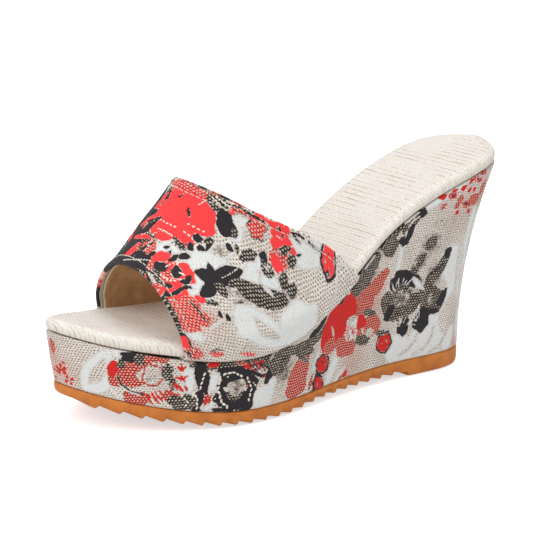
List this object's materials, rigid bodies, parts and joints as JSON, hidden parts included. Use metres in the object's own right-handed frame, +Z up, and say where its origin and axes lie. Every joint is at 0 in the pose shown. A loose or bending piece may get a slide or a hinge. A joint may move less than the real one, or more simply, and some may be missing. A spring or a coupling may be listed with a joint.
{
  "type": "wedge sandal",
  "caption": "Left backless wedge sandal with an open toe, a broad printed fabric band, a printed fabric-covered wedge, a woven insole and a toothed rubber outsole.",
  "frame": {"origin": "centre of the bounding box in plan, at ground level under the heel block", "axes": "+Z up from the ground; +Y runs from the toe to the heel; +X is the outer side of the left foot"},
  "size_m": [0.0864, 0.228, 0.0982],
  "materials": {
    "outsole": "satin",
    "sole_filler": "matte felt",
    "wedge_core": "matte foam",
    "wedge_wrap": "printed woven, matte",
    "seat_filler": "matte felt",
    "shank": "plain",
    "insole_board": "pressed fibre board, matte",
    "insole_pad": "soft foam",
    "insole_cover": "woven straw, matte",
    "band_outer": "printed woven, matte",
    "band_interlining": "matte non-woven",
    "band_lining": "satin synthetic leather",
    "front_edge_tape": "matte tape",
    "rear_edge_tape": "matte tape",
    "front_edge_thread": "matte thread",
    "rear_edge_thread": "matte thread",
    "heel_screw": "zinc plated",
    "heel_nail_1": "plain",
    "heel_nail_2": "plain",
    "heel_nail_3": "plain",
    "heel_nail_4": "plain",
    "shank_rivet_1": "plain",
    "shank_rivet_2": "plain",
    "margin_tack_1": "plain",
    "margin_tack_2": "plain",
    "margin_tack_3": "plain",
    "margin_tack_4": "plain"
  },
  "bodies": {
    "root": {"outsole": "outsole", "sole_filler": "sole_filler", "wedge_core": "wedge_core", "wedge_wrap": "wedge_wrap", "seat_filler": "seat_filler", "shank": "shank", "insole_board": "insole_board", "insole_pad": "insole_pad", "insole_cover": "insole_cover", "band_outer": "band_outer", "band_interlining": "band_interlining", "band_lining": "band_lining", "front_edge_tape": "front_edge_tape", "rear_edge_tape": "rear_edge_tape", "front_edge_thread": "front_edge_thread", "rear_edge_thread": "rear_edge_thread", "heel_screw": "heel_screw", "heel_nail_1": "heel_nail_1", "heel_nail_2": "heel_nail_2", "heel_nail_3": "heel_nail_3", "heel_nail_4": "heel_nail_4", "shank_rivet_1": "shank_rivet_1", "shank_rivet_2": "shank_rivet_2", "margin_tack_1": "margin_tack_1", "margin_tack_2": "margin_tack_2", "margin_tack_3": "margin_tack_3", "margin_tack_4": "margin_tack_4"}
  },
  "joints": []
}
